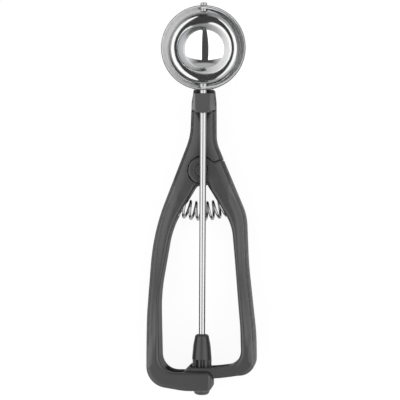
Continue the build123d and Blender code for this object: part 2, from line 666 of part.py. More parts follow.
with BuildPart() as neck_cover:
    with BuildSketch(Plane.XY.offset(COVER_BACK + SEAT_GAP)):
        Polygon(
            (cover_left(COVER_SIDE_Y) + COVER_CORNER, COVER_LOW_Y + COVER_UNDERCUT),
            (cover_right(COVER_SIDE_Y) - COVER_CORNER, COVER_LOW_Y + COVER_UNDERCUT),
            (cover_right(COVER_SIDE_Y), COVER_SIDE_Y),
            (cover_right(COVER_TOP_Y), COVER_TOP_Y),
            (cover_left(COVER_TOP_Y), COVER_TOP_Y),
            (cover_left(COVER_SIDE_Y), COVER_SIDE_Y),
            align=None,
        )
    with BuildSketch(Plane.XY.offset(COVER_FRONT)):
        Polygon(
            (COVER_CORNER - COVER_PANEL, COVER_LOW_Y),
            (COVER_PANEL - COVER_CORNER, COVER_LOW_Y),
            (COVER_PANEL, COVER_LOW_Y + COVER_CORNER),
            (COVER_PANEL, COVER_TOP_Y - 0.4),
            (-COVER_PANEL, COVER_TOP_Y - 0.4),
            (-COVER_PANEL, COVER_LOW_Y + COVER_CORNER),
            align=None,
        )
    loft(ruled=True)
    fillet(neck_cover.faces().sort_by(Axis.Z)[-1].edges(), 0.5)
    with Locations((0, COVER_LOW_Y, 0)):
        Cylinder(ROD_R + RUNNING_GAP, 4 * COVER_LENGTH, rotation=(90, 0, 0), mode=Mode.SUBTRACT)
    with BuildSketch(Plane.XY.offset(COVER_BACK + SEAT_GAP)):
        with Locations((0, (COVER_TOP_Y + COVER_LOW_Y) / 2)):
            with GridLocations(2 * COVER_PEG_X, 0, 2, 1):
                Circle(COVER_PEG_R)
    extrude(amount=-COVER_PEG_H)


# Lower bearing: a flanged bush in the floor of the foot and a domed cap below it
with BuildPart() as foot_bush:
    with BuildSketch(at_height(BUSH_TOP_Y)):
        Circle(BUSH_FLANGE_R)
    extrude(amount=BUSH_FLANGE_H - SEAT_GAP)
    with BuildSketch(at_height(CHANNEL_FLOOR_Y + SEAT_GAP)):
        Circle(BUSH_R - SEAT_GAP)
    extrude(amount=CHANNEL_FLOOR_Y - FOOT_BOTTOM_Y - 1.0)
    with Locations((0, BUSH_TOP_Y, 0)):
        Cylinder(ROD_R + RUNNING_GAP, 4 * FOOT_FLOOR, rotation=(90, 0, 0), mode=Mode.SUBTRACT)

with BuildPart() as foot_cap:
    with BuildSketch(Plane.XY):
        with BuildLine():
            Line((0, FOOT_BOTTOM_Y + 0.9), (BUSH_R - SEAT_GAP, FOOT_BOTTOM_Y + 0.9))
            Line((BUSH_R - SEAT_GAP, FOOT_BOTTOM_Y + 0.9), (BUSH_R - SEAT_GAP, FOOT_BOTTOM_Y - SEAT_GAP))
            Line((BUSH_R - SEAT_GAP, FOOT_BOTTOM_Y - SEAT_GAP), (CAP_R, FOOT_BOTTOM_Y - SEAT_GAP))
            Bezier(
                (CAP_R, FOOT_BOTTOM_Y - SEAT_GAP),
                (CAP_R * 0.95, FOOT_BOTTOM_Y - CAP_H),
                (CAP_R * 0.5, FOOT_BOTTOM_Y - CAP_H),
                (0, FOOT_BOTTOM_Y - CAP_H),
            )
            Line((0, FOOT_BOTTOM_Y - CAP_H), (0, FOOT_BOTTOM_Y + 0.9))
        make_face()
    revolve(axis=Axis.Y)


# Spring seats: a round pocket in the inner edge of each arm, with a peg inside the coil
LEFT_EDGE = ((PIVOT_X - LEFT_CROTCH, LEFT_CROTCH_Y), (LEFT_INNER_X + LEFT_ELBOW, LEFT_ELBOW_Y))
RIGHT_EDGE = ((PIVOT_X + RIGHT_CROTCH, RIGHT_CROTCH_Y), (RIGHT_INNER_X - RIGHT_ELBOW, RIGHT_ELBOW_Y))
SEAT_TURN = math.degrees(SEAT_DEPTH / ARCH_R)
SPRING_LEFT = seat_angle(*LEFT_EDGE) - SEAT_TURN
SPRING_RIGHT = seat_angle(*RIGHT_EDGE) + SEAT_TURN
POCKET_R = COIL_R + WIRE_R + SPRING_ROOM
POCKET_REACH = 3 * SEAT_DEPTH
PEG_ROOT = 1.0


def seat_circle(angle, side, radius, sink):
    """Draw a circle on the floor of a spring seat, or sunk into it, facing the other seat."""
    turn = math.radians(angle)
    floor = Plane(
        origin=(*about_arch(ARCH_R, angle), SPRING_Z),
        x_dir=(0, 0, 1),
        z_dir=(side * math.cos(turn), side * math.sin(turn), 0),
    )
    with BuildSketch(floor.offset(-sink)) as circle:
        Circle(radius)
    return circle.sketch


# Frame handle: the blank with the hinge lap, the foot channel, the seats and the bores
CHANNEL_END = arm_angle(about_pivot(RACK_R, -RACK_END)[0]) - SQUEEZE - 0.6
with BuildPart() as frame_handle:
    add(frame_blank.part)
    with BuildSketch(Plane.XY.offset(LAP_BACK)):
        with Locations((PIVOT_X, 0)):
            Circle(DISC_R + SEAM_GAP)
        Polygon(
            SEAM_START,
            SEAM_NOTCH,
            SEAM_FAR,
            (REACH, 2 * BLANK_LOW_Y),
            (CROTCH_X, 2 * BLANK_LOW_Y),
            (CROTCH_X, 0),
            align=None,
        )
    extrude(amount=REACH, mode=Mode.SUBTRACT)
    with BuildSketch(Plane.XY.offset(LAP_BACK)):
        Polygon(
            SEAM_NOTCH,
            SEAM_FAR,
            (REACH, 2 * BLANK_LOW_Y),
            (CROTCH_X, 2 * BLANK_LOW_Y),
            (CROTCH_X, 0),
            align=None,
        )
        with Locations((PIVOT_X, 0)):
            Circle(TONGUE_R, mode=Mode.SUBTRACT)
    extrude(amount=-REACH, mode=Mode.SUBTRACT)
    channel_floor = Plane.XY.offset(-CHANNEL_BACK)
    channel = ring_sector(channel_floor, END_STOP_R - BODY_GAP, CHANNEL_R, CHANNEL_END, 30)
    extrude(channel, amount=CHANNEL_BACK + CHANNEL_FRONT, mode=Mode.SUBTRACT)
    extrude(seat_circle(SPRING_LEFT, 1, POCKET_R, 0), amount=POCKET_REACH, mode=Mode.SUBTRACT)
    extrude(seat_circle(SPRING_LEFT, 1, SEAT_PEG_R, PEG_ROOT), amount=PEG_ROOT + SEAT_PEG_H)
    extrude(left_grip_region(GRIP_GAP), amount=REACH, both=True, mode=Mode.SUBTRACT)
    with Locations((0, NECK_TOP_Y, NECK_BACK)):
        Box(REACH, REACH, REACH, align=(Align.CENTER, Align.MIN, Align.CENTER), mode=Mode.SUBTRACT)
    with BuildSketch(Plane.XY.offset(COVER_BACK)):
        recess_low = COVER_LOW_Y + COVER_UNDERCUT - COVER_ROOM
        Polygon(
            (cover_left(COVER_SIDE_Y) + COVER_CORNER, recess_low),
            (cover_right(COVER_SIDE_Y) - COVER_CORNER, recess_low),
            (cover_right(COVER_SIDE_Y) + COVER_CORNER, recess_low + 2 * COVER_CORNER),
            (cover_right(COVER_SIDE_Y) + COVER_CORNER, COVER_TOP_Y + COVER_ROOM),
            (cover_left(COVER_SIDE_Y) - COVER_CORNER, COVER_TOP_Y + COVER_ROOM),
            (cover_left(COVER_SIDE_Y) - COVER_CORNER, recess_low + 2 * COVER_CORNER),
            align=None,
        )
    extrude(amount=REACH, mode=Mode.SUBTRACT)
    with Locations((0, BOWL_Y, 0)):
        Sphere(BOWL_OUTER_R + NECK_BOWL_GAP, mode=Mode.SUBTRACT)
    with BuildSketch(Plane.XY.offset(COVER_BACK)):
        with Locations((0, (COVER_TOP_Y + COVER_LOW_Y) / 2)):
            with GridLocations(2 * COVER_PEG_X, 0, 2, 1):
                Circle(COVER_PEG_R + SEAT_GAP)
    extrude(amount=-COVER_PEG_H - SEAT_GAP, mode=Mode.SUBTRACT)
    with BuildSketch(at_height(NECK_TOP_Y)):
        with Locations((0, SHANK_Z)):
            Rectangle(SHANK_WIDTH + 2 * SEAT_GAP, SHANK_SHEET + 2 * SEAT_GAP)
    extrude(amount=TANG_LENGTH + SEAT_GAP, mode=Mode.SUBTRACT)
    with BuildSketch(at_height(NECK_TOP_Y)):
        with Locations((0, SHANK_Z)):
            mouth_depth = SHANK_SHEET / 2 + SHANK_MOUTH
            Rectangle(SHANK_WIDTH + 2 * SEAT_GAP, mouth_depth, align=(Align.CENTER, Align.MAX))
    extrude(amount=NECK_TOP_Y - BEND_Y + SEAT_GAP, mode=Mode.SUBTRACT)
    with BuildSketch(Plane.XY.offset(PIN_FRONT + SEAT_GAP)):
        with Locations(*[(0, pin_y) for pin_y in PIN_HEIGHTS]):
            Circle(SHANK_PIN_R + SEAT_GAP)
    extrude(amount=-REACH, mode=Mode.SUBTRACT)
    with BuildSketch(Plane.XY.offset(LAP_FRONT)):
        with Locations((PIVOT_X, 0)):
            Circle(PIVOT_R + SEAT_GAP)
    extrude(amount=-REACH, mode=Mode.SUBTRACT)
    with BuildSketch(Plane.XY.offset(RETAINER_SEAT)):
        with Locations((PIVOT_X, 0)):
            Circle(RETAINER_R + BODY_GAP)
    extrude(amount=-REACH, mode=Mode.SUBTRACT)
    with BuildSketch(at_height(CHANNEL_FLOOR_Y + FOOT_FLOOR)):
        Circle(BUSH_FLANGE_R + BODY_GAP)
    extrude(amount=FOOT_FLOOR, mode=Mode.SUBTRACT)
    with BuildSketch(at_height(CHANNEL_FLOOR_Y)):
        Circle(BUSH_R)
    extrude(amount=2 * FOOT_FLOOR, mode=Mode.SUBTRACT)


# Lever handle: the blank with the hinge disc and the slotted arm that carries the rack
RACK_PITCH = 360 / RACK_ROUND
MESH_ANGLE = arm_angle(0) + SPACE_LEAN / RATIO
SLOT_START = arm_angle(-(PINION_TIP_R + BODY_GAP))
SLOT_END = arm_angle(PINION_TIP_R + BODY_GAP) + SQUEEZE
HALF_TOOTH = (math.pi * MODULE / 2 - BACKLASH) / 2
TOOTH_LEAN = math.tan(math.radians(PRESSURE_ANGLE))


def rack_tooth(angle):
    """Draw one rack tooth, on a plane square to the radius at an angle."""
    turn = math.radians(angle)
    foot = Plane(
        origin=(*about_pivot(ARM_INNER_R + TOOTH_SINK, angle), -RACK_LINE),
        x_dir=(math.cos(turn), math.sin(turn), 0),
        z_dir=(math.sin(turn), -math.cos(turn), 0),
    )
    root = RACK_ROOT - RACK_LINE + 0.5
    with BuildSketch(foot) as profile:
        Polygon(
            (-HALF_TOOTH - root * TOOTH_LEAN, -root),
            (HALF_TOOTH + root * TOOTH_LEAN, -root),
            (HALF_TOOTH - MODULE * TOOTH_LEAN, MODULE),
            (-HALF_TOOTH + MODULE * TOOTH_LEAN, MODULE),
            align=None,
        )
    return profile.sketch


with BuildPart() as lever_handle:
    add(lever_blank.part)
    with BuildSketch():
        Polygon(
            (-REACH, SEAM_START[1] - BODY_GAP),
            (SEAM_START[0], SEAM_START[1] - BODY_GAP),
            (SEAM_NOTCH[0], SEAM_NOTCH[1] - BODY_GAP),
            (SEAM_FAR[0], SEAM_FAR[1] - BODY_GAP),
            (SEAM_FAR[0], REACH),
            (-REACH, REACH),
            align=None,
        )
    extrude(amount=REACH, both=True, mode=Mode.SUBTRACT)
    with BuildSketch(Plane.XY.offset(LAP_FRONT)):
        with Locations((PIVOT_X, 0)):
            Circle(TONGUE_R + BODY_GAP)
    extrude(amount=-REACH, mode=Mode.SUBTRACT)
    with BuildSketch(Plane.XY.offset(LAP_FRONT)):
        with Locations((PIVOT_X, 0)):
            Circle(DISC_R)
    extrude(amount=LAP_DEPTH)
    extrude(right_grip_region(GRIP_GAP), amount=REACH, both=True, mode=Mode.SUBTRACT)
    extrude(seat_circle(SPRING_RIGHT, -1, POCKET_R, 0), amount=POCKET_REACH, mode=Mode.SUBTRACT)
    extrude(seat_circle(SPRING_RIGHT, -1, SEAT_PEG_R, PEG_ROOT), amount=PEG_ROOT + SEAT_PEG_H)
    arm_floor = Plane.XY.offset(-ARM_BACK)
    relief = ring_sector(arm_floor, END_STOP_R - 1, CHANNEL_R, -RACK_END, arm_angle(LEVER_FOOT_X))
    extrude(relief, amount=-REACH, mode=Mode.SUBTRACT)
    rack_floor = Plane.XY.offset(-RACK_ROOT)
    arm = ring_sector(arm_floor, ARM_INNER_R, ARM_OUTER_R, -RACK_END, arm_angle(LEVER_FOOT_X + 2))
    extrude(arm, amount=ARM_BACK + ARM_FRONT)
    end_stop = ring_sector(arm_floor, END_STOP_R, RACK_R, -RACK_END, SLOT_START)
    extrude(end_stop, amount=ARM_BACK)
    slot = ring_sector(rack_floor, END_STOP_R - 1, ARM_OUTER_R + 1, SLOT_START, SLOT_END)
    extrude(slot, amount=RACK_ROOT + SLOT_FRONT, mode=Mode.SUBTRACT)
    first_tooth = math.ceil((SLOT_START - MESH_ANGLE) / RACK_PITCH)
    last_tooth = math.floor((SLOT_END - MESH_ANGLE) / RACK_PITCH)
    for tooth in range(first_tooth, last_tooth + 1):
        extrude(rack_tooth(MESH_ANGLE + tooth * RACK_PITCH), amount=TOOTH_LENGTH - TOOTH_SINK)
    end_turn = math.radians(RACK_END)
    end_corner = Plane(
        origin=(*about_pivot(END_STOP_R, -RACK_END), 0),
        x_dir=(math.cos(end_turn), -math.sin(end_turn), 0),
    )
    with BuildSketch(end_corner):
        Polygon((0, -1.2 * RACK_END_CHAMFER), (RACK_END_CHAMFER, 0), (0, 2), (-2, 0), align=None)
    extrude(amount=REACH, both=True, mode=Mode.SUBTRACT)
    with Locations((PIVOT_X, 0, NECK_FRONT)):
        Cylinder(PIVOT_R + RUNNING_GAP, REACH, mode=Mode.SUBTRACT)
        Cylinder(
            PIVOT_HEAD_R + PIVOT_HEAD_GAP,
            PIVOT_HEAD_H + 0.1 + RUNNING_GAP,
            align=(Align.CENTER, Align.CENTER, Align.MAX),
            mode=Mode.SUBTRACT,
        )


# Return spring: one wire wound round an arch between the arms, its ends laid flat on the seats
WIRE_SEAT = math.degrees((WIRE_R + RUNNING_GAP) / (ARCH_R - COIL_R))
COIL_START = SPRING_LEFT + WIRE_SEAT
COIL_PITCH = (SPRING_RIGHT - SPRING_LEFT - 2 * WIRE_SEAT) / (SPRING_TURNS - SPRING_FLAT_TURNS)


def coil_advance(turn):
    """Turns that count towards the pitch: the wire starts and ends flat on its seats."""
    flat = SPRING_FLAT_TURNS
    if turn < flat:
        return turn**2 / (2 * flat)
    if turn > SPRING_TURNS - flat:
        return SPRING_TURNS - flat - (SPRING_TURNS - turn) ** 2 / (2 * flat)
    return turn - flat / 2


def coil_point(turn):
    """Point on the middle of the wire after a number of turns from the left seat."""
    angle = COIL_START + COIL_PITCH * coil_advance(turn)
    wind = math.radians(SPRING_START - 360 * turn)
    x, y = about_arch(ARCH_R + COIL_R * math.cos(wind), angle)
    return Vector(x, y, SPRING_Z + COIL_R * math.sin(wind))


def coil_heading(turn):
    """Direction of the wire after a number of turns."""
    step = 1e-4
    return (coil_point(turn + step) - coil_point(turn - step)).normalized()


def biarc_joint(start, start_heading, end, end_heading):
    """Point where two arcs meet that join two headings smoothly."""
    chord = end - start
    headings = start_heading + end_heading
    bend = 2 * (1 - start_heading.dot(end_heading))
    along = chord.dot(headings)
    reach = (math.sqrt(along**2 + bend * chord.dot(chord)) - along) / bend
    return (start + start_heading * reach + end - end_heading * reach) * 0.5


QUARTERS = int(SPRING_TURNS * 4)
with BuildPart() as return_spring:
    with BuildLine() as wire:
        for quarter in range(QUARTERS):
            start, end = coil_point(quarter / 4), coil_point((quarter + 1) / 4)
            heading, next_heading = coil_heading(quarter / 4), coil_heading((quarter + 1) / 4)
            joint = biarc_joint(start, heading, end, next_heading)
            TangentArc(start, joint, tangent=heading)
            TangentArc(joint, end, tangent=-next_heading, tangent_from_first=False)
    with BuildSketch(Plane(origin=coil_point(0), z_dir=coil_heading(0))):
        Circle(WIRE_R)
    sweep(path=wire.wire())

coil_steps = [coil_point(step / 48) for step in range(int(SPRING_TURNS * 48) + 1)]
least_gap = min(
    (one - other).length - 2 * WIRE_R
    for index, one in enumerate(coil_steps)
    for other in coil_steps[index + 24 :]
)
print("least gap between the spring's turns", round(least_gap, 3), "mm")


# Resting pose: the scoop lies on its back, on the bowl and on the lower back edge of the foot
EDGE_Y = FOOT_BOTTOM_Y + RIM_R
EDGE_Z = -FOOT_BACK + RIM_R
SUPPORT_SPAN = math.hypot(BOWL_Y - EDGE_Y, EDGE_Z)
REST_TILT = math.degrees(
    math.asin((BOWL_OUTER_R - RIM_R) / SUPPORT_SPAN) - math.atan2(-EDGE_Z, BOWL_Y - EDGE_Y)
)

PIECES = {
    "bowl": bowl,
    "bowl_shank": bowl_shank,
    "shank_pins": shank_pins,
    "tip_rivet": tip_rivet,
    "frame_handle": frame_handle,
    "frame_grip": frame_grip,
    "neck_cover": neck_cover,
    "pivot_pin": pivot_pin,
    "pivot_washer": pivot_washer,
    "pivot_retainer": pivot_retainer,
    "return_spring": return_spring,
    "foot_bush": foot_bush,
    "foot_cap": foot_cap,
    "drive_rod": drive_rod,
    "pinion_boot": pinion_boot,
    "boot_pin": boot_pin,
    "sweep_blade": sweep_blade,
    "blade_collar": blade_collar,
    "lever_handle": lever_handle,
    "lever_grip": lever_grip,
}
tilted = Location((0, 0, 0), (REST_TILT, 0, 0))
box = Compound([piece.part.moved(tilted) for piece in PIECES.values()]).bounding_box()
middle = box.center()
REST = Location((-middle.X, -middle.Y, -box.min.Z)) * tilted
for name, piece in PIECES.items():
    piece.part.label = name
    export_step(piece.part.moved(REST), f"parts/{name}.step")
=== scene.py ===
"""Trigger ice cream scoop, laid on white paper under two studio softboxes."""

import json
import math

import bmesh
import bpy
from mathutils import Matrix, Vector
from mathutils.bvhtree import BVHTree
from mathutils.kdtree import KDTree


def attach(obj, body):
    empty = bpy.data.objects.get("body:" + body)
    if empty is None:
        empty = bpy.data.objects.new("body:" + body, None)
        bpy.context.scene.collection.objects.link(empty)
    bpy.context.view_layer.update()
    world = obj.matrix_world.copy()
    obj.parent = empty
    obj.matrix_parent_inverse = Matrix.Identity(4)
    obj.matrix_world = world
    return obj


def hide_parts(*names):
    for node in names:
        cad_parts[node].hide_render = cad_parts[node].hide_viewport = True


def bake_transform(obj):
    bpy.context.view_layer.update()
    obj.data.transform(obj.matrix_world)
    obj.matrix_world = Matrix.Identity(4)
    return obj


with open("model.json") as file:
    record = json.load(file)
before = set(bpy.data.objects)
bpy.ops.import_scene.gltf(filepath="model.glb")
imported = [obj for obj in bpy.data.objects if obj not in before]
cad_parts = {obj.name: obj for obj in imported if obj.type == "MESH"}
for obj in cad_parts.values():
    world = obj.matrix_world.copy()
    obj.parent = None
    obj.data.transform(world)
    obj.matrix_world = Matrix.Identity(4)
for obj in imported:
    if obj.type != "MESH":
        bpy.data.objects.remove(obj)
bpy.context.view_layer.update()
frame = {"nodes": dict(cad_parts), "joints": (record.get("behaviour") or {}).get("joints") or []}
scene = bpy.context.scene

# Bowl
# A hemisphere with a short straight skirt, spun from stainless sheet and polished, its rim turned
# smooth. The strap behind it is welded on, and the rod and the rivet pass through its wall.
joints = {joint["name"]: joint for joint in frame["joints"]}
rod_point = Vector(joints["rod_turn"]["pos_m"])
along = Vector(joints["rod_turn"]["axis"])
facing = -Vector(joints["lever_squeeze"]["axis"])
across = along.cross(facing)


def at(x, y, z):
    """Point in the row frame, from millimetres across, along and in front of the rod."""
    return rod_point + (across * x + along * y + facing * z) / 1000


WELD, SLIVER, SHARP_ANGLE = 1e-6, 1e-7, 38


def turned(centre, axis, profile, steps):
    """Mesh of a round piece: a profile of (radius, height) in millimetres, turned about an axis."""
    outward = across if abs(across.dot(axis)) < 0.5 else along
    work = bmesh.new()
    line = [work.verts.new(centre + (outward * r + axis * h) / 1000) for r, h in profile]
    edges = [work.edges.new(pair) for pair in zip(line, line[1:])]
    bmesh.ops.spin(
        work, geom=line + edges, cent=centre, axis=axis, angle=math.tau, steps=steps, use_merge=True
    )
    bmesh.ops.remove_doubles(work, verts=work.verts, dist=WELD)
    bmesh.ops.dissolve_degenerate(work, edges=work.edges, dist=SLIVER)
    bmesh.ops.recalc_face_normals(work, faces=work.faces)
    mesh = bpy.data.meshes.new("turned")
    work.to_mesh(mesh)
    work.free()
    return mesh


def arc(radius, start, end, steps, centre=(0, 0)):
    """Profile points on an arc, its angles in degrees from the axis."""
    turns = [math.radians(start + (end - start) * step / steps) for step in range(steps + 1)]
    return [(centre[0] + radius * math.sin(t), centre[1] + radius * math.cos(t)) for t in turns]


def place(name, mesh, body, slot, material, *replaced):
    """Set a finished piece on its body, in the place of the solids that it stands for."""
    mesh.shade_smooth()
    mesh.set_sharp_from_angle(angle=math.radians(SHARP_ANGLE))
    mesh.materials.clear()
    mesh.materials.append(material)
    piece = bpy.data.objects.new(name, mesh)
    scene.collection.objects.link(piece)
    if body:
        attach(piece, body)
    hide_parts(*replaced)
    return piece


def linear(colour):
    """Scene-linear colour of an sRGB hex value."""
    parts = [int(colour[i : i + 2], 16) / 255 for i in (1, 3, 5)]
    return [p / 12.92 if p <= 0.04045 else ((p + 0.055) / 1.055) ** 2.4 for p in parts] + [1]


def node(tree, kind, inputs, **settings):
    """Add a shader node with its settings, then set or link its inputs."""
    made = tree.nodes.new("ShaderNode" + kind)
    for name, value in settings.items():
        setattr(made, name, value)
    for name, value in inputs.items():
        if isinstance(value, bpy.types.NodeSocket):
            tree.links.new(value, made.inputs[name])
        else:
            made.inputs[name].default_value = value
    return made


def start_material(name, colour, roughness, metallic):
    """New material with its plain values set: the material, its node tree and its shader."""
    material = bpy.data.materials.new(name)
    material.use_nodes = True
    shader = material.node_tree.nodes["Principled BSDF"]
    shader.inputs["Base Color"].default_value = linear(colour)
    shader.inputs["Roughness"].default_value = roughness
    shader.inputs["Metallic"].default_value = metallic
    return material, material.node_tree, shader


BOWL_INNER_R, BOWL_OUTER_R, BOWL_SKIRT, BOWL_Y = 22.55, 23.25, 2.5, 67.15
BOWL_CENTRE = at(0, BOWL_Y, 0)
RIM_R = (BOWL_OUTER_R - BOWL_INNER_R) / 2
BOWL_STEPS, RIM_STEPS, BOWL_ROUND = 48, 8, 128
bowl_profile = arc(BOWL_INNER_R, 180, 90, BOWL_STEPS)
bowl_profile += arc(RIM_R, -90, 90, RIM_STEPS, (BOWL_INNER_R + RIM_R, BOWL_SKIRT - RIM_R))
bowl_profile += arc(BOWL_OUTER_R, 90, 180, BOWL_STEPS)

# Polished stainless steel: a mirror that dulls to satin towards the rim, with the faint rings of
# the spinning tool round its axis. They are about 0.4 mm apart, and drawn 1.2 mm apart here
# because finer ones would not show. Cloth smears vary the gloss over a centimetre or two. The outer
# edge of the rim, where the sheet was trimmed, is left dark and matt.
RING_SPACING, SMEAR_WIDTH, SMEAR_GLOSS = 1.2, 14.3, 0.06
SATIN_START, SATIN_FULL, MILK_FULL = -10.8, -7.0, -8.0
MIRROR_GLOSS, SATIN_GLOSS, MILK_SHINE, EDGE_MATT = 0.03, 0.4, 0.4, 0.4
STEEL, TRIMMED_STEEL = "#d9d9d9", "#1c1c1c"
spun_steel, tree, shader = start_material("polished_stainless_spun", STEEL, MIRROR_GLOSS, 1.0)
place_of = node(tree, "TexCoord", {}).outputs["Object"]
from_axis = node(tree, "VectorMath", {0: place_of, 1: BOWL_CENTRE}, operation="SUBTRACT")
depth = node(tree, "VectorMath", {0: from_axis.outputs[0], 1: facing}, operation="DOT_PRODUCT")
depth = depth.outputs["Value"]
rings = node(
    tree, "TexNoise", {"W": depth, "Scale": 1000 / RING_SPACING, "Detail": 2.0},
    noise_dimensions="1D",
)
smears = node(tree, "TexNoise", {"Vector": place_of, "Scale": 1000 / SMEAR_WIDTH, "Detail": 3.0})
dull = node(
    tree, "MapRange",
    {
        "Value": depth, "From Min": SATIN_START / 1000, "From Max": SATIN_FULL / 1000,
        "To Min": MIRROR_GLOSS, "To Max": SATIN_GLOSS,
    },
)
outward = node(tree, "VectorMath", {0: from_axis.outputs[0], 1: facing}, operation="CROSS_PRODUCT")
outward = node(tree, "VectorMath", {0: outward.outputs[0]}, operation="LENGTH")
past_middle = node(
    tree, "MapRange",
    {
        "Value": outward.outputs["Value"],
        "From Min": (BOWL_INNER_R + RIM_R / 2) / 1000,
        "From Max": (BOWL_INNER_R + RIM_R) / 1000,
    },
)
on_rim = node(
    tree, "MapRange",
    {
        "Value": depth,
        "From Min": (BOWL_SKIRT - 2 * RIM_R) / 1000, "From Max": (BOWL_SKIRT - RIM_R) / 1000,
    },
)
edge = node(
    tree, "Math", {0: past_middle.outputs["Result"], 1: on_rim.outputs["Result"]},
    operation="MULTIPLY",
)
milky = node(
    tree, "MapRange",
    {
        "Value": depth, "From Min": SATIN_START / 1000, "From Max": MILK_FULL / 1000,
        "To Min": 1.0, "To Max": MILK_SHINE,
    },
)
shine = node(
    tree, "Math", {0: milky.outputs["Result"], 1: edge.outputs[0]},
    operation="SUBTRACT", use_clamp=True,
)
tree.links.new(shine.outputs[0], shader.inputs["Metallic"])
rough = node(
    tree, "Math", {0: smears.outputs["Fac"], 1: SMEAR_GLOSS, 2: dull.outputs["Result"]},
    operation="MULTIPLY_ADD",
)
rough = node(
    tree, "Math", {0: edge.outputs[0], 1: EDGE_MATT, 2: rough.outputs[0]},
    operation="MULTIPLY_ADD",
)
tree.links.new(rough.outputs[0], shader.inputs["Roughness"])
tone = node(
    tree, "Mix", {0: edge.outputs[0], 6: linear(STEEL), 7: linear(TRIMMED_STEEL)},
    data_type="RGBA",
)
tree.links.new(tone.outputs[2], shader.inputs["Base Color"])
bump = node(tree, "Bump", {"Height": rings.outputs["Fac"], "Strength": 0.04, "Distance": 0.0002})
tree.links.new(bump.outputs["Normal"], shader.inputs["Normal"])

bowl_mesh = turned(BOWL_CENTRE, facing, bowl_profile, BOWL_ROUND)
place("spun_bowl", bowl_mesh, "frame", "polished_steel", spun_steel, "bowl")

# Strap, its two pins and the rivet
# A stainless strap welded to the back of the bowl, pinned in the neck, and a headed rivet at the
# far side of the bowl that the blade turns on. All are plain bright steel with a fine grind.
GRIND_WIDTH = 0.5
bright_steel, tree, shader = start_material("bright_steel_ground", "#8e8e8f", 0.2, 1.0)
place_of = node(tree, "TexCoord", {}).outputs["Object"]
grind = node(tree, "TexNoise", {"Vector": place_of, "Scale": 1000 / GRIND_WIDTH, "Detail": 3.0})
rough = node(tree, "MapRange", {"Value": grind.outputs["Fac"], "To Min": 0.12, "To Max": 0.34})
tree.links.new(rough.outputs["Result"], shader.inputs["Roughness"])
bump = node(tree, "Bump", {"Height": grind.outputs["Fac"], "Strength": 0.1, "Distance": 0.00005})
tree.links.new(bump.outputs["Normal"], shader.inputs["Normal"])


def finish(material, *names):
    """Give solids that are right as they stand their material."""
    for name in names:
        frame["nodes"][name].data.materials.clear()
        frame["nodes"][name].data.materials.append(material)


finish(bright_steel, "bowl_shank", "shank_pins", "tip_rivet")

# Left handle and its grip
# The neck, the left arm and the foot are one moulding in dark grey nylon. The outer half of the
# arm is a softer grip in much the same grey, moulded over it, and a shallow valley runs where
# they meet.
CELL, SOFTENING, SEARCH = 0.4, 6, 4.0
VALLEY_DEPTH, VALLEY_REACH, VALLEY_TOP, VALLEY_LOW, VALLEY_FADE = 0.5, 1.3, -12, -97, 8
SEAM_DEPTH, SEAM_REACH = 0.35, 0.55
CROWN, CROWN_REACH, FOOT_Y, FOOT_FADE = 1.5, 7.0, -104, 12
WALL_SLOPE, SEAM_ROOM, HINGE_R = 0.3, 1.0, 9.0
FLAT_START, FLAT_FADE = 0.25, 0.3
GRIP_SHEET, GRIP_BORDER, CORE_SINK, SINK_START, SINK_REACH = 0.9, 0.3, 0.5, 0.15, 1.4


def soft_form(handle, grip, other_handle):
    """One smooth skin over a handle and its grip, and each point's depth inside the grip."""
    work = bmesh.new()
    for name in (handle, grip):
        work.from_mesh(frame["nodes"][name].data)
    block_mesh = bpy.data.meshes.new("block")
    work.to_mesh(block_mesh)
    work.free()
    block = bpy.data.objects.new("block", block_mesh)
    scene.collection.objects.link(block)
    cells = block.modifiers.new("cells", "REMESH")
    cells.mode = "VOXEL"
    cells.voxel_size = CELL / 1000
    smooth = block.modifiers.new("smooth", "SMOOTH")
    smooth.iterations = SOFTENING
    bpy.context.view_layer.update()
    graph = bpy.context.evaluated_depsgraph_get()
    mesh = bpy.data.meshes.new_from_object(block.evaluated_get(graph))
    bpy.data.objects.remove(block)
    gaps = []
    for name in (handle, grip, other_handle):
        work = bmesh.new()
        work.from_mesh(frame["nodes"][name].data)
        solid = BVHTree.FromBMesh(work)
        work.free()
        found = [solid.find_nearest(vertex.co, SEARCH / 1000)[3] for vertex in mesh.vertices]
        gaps.append([SEARCH if gap is None else gap * 1000 for gap in found])
    outer_wall = [
        vertex.co
        for vertex, to_other in zip(mesh.vertices, gaps[2])
        if vertex.normal.dot(across) * (vertex.co - rod_point).dot(across) > 0
        and abs(vertex.normal.dot(facing)) < WALL_SLOPE
        and to_other > SEAM_ROOM
        and (vertex.co - rod_point).length > HINGE_R / 1000
    ]
    wall = KDTree(len(outer_wall))
    for i, spot in enumerate(outer_wall):
        wall.insert(spot, i)
    wall.balance()
    spots = []
    for vertex, to_handle, to_grip, to_other in zip(mesh.vertices, *gaps):
        height = (vertex.co - rod_point).dot(along) * 1000
        upper_end = min(1, max(0, (VALLEY_TOP - height) / VALLEY_FADE))
        lower_end = min(1, max(0, (height - VALLEY_LOW) / VALLEY_FADE))
        level = min(1, max(0, abs(vertex.normal.dot(facing)) - FLAT_START) / FLAT_FADE)
        from_joint = max(to_handle, to_grip)
        dip = VALLEY_DEPTH * math.exp(-((from_joint / VALLEY_REACH) ** 2)) * upper_end * lower_end
        dip += SEAM_DEPTH * math.exp(-((to_other / SEAM_REACH) ** 2))
        from_wall = wall.find(vertex.co)[2] * 1000
        above_foot = min(1, max(0, (height - FOOT_Y) / FOOT_FADE))
        dip += CROWN * (1 - min(1, from_wall / CROWN_REACH)) ** 2 * above_foot
        spots.append(vertex.co - vertex.normal * dip * level / 1000)
    for vertex, spot in zip(mesh.vertices, spots):
        vertex.co = spot
    mesh.update()
    return mesh, [to_handle - to_grip for to_handle, to_grip, _ in zip(*gaps)]


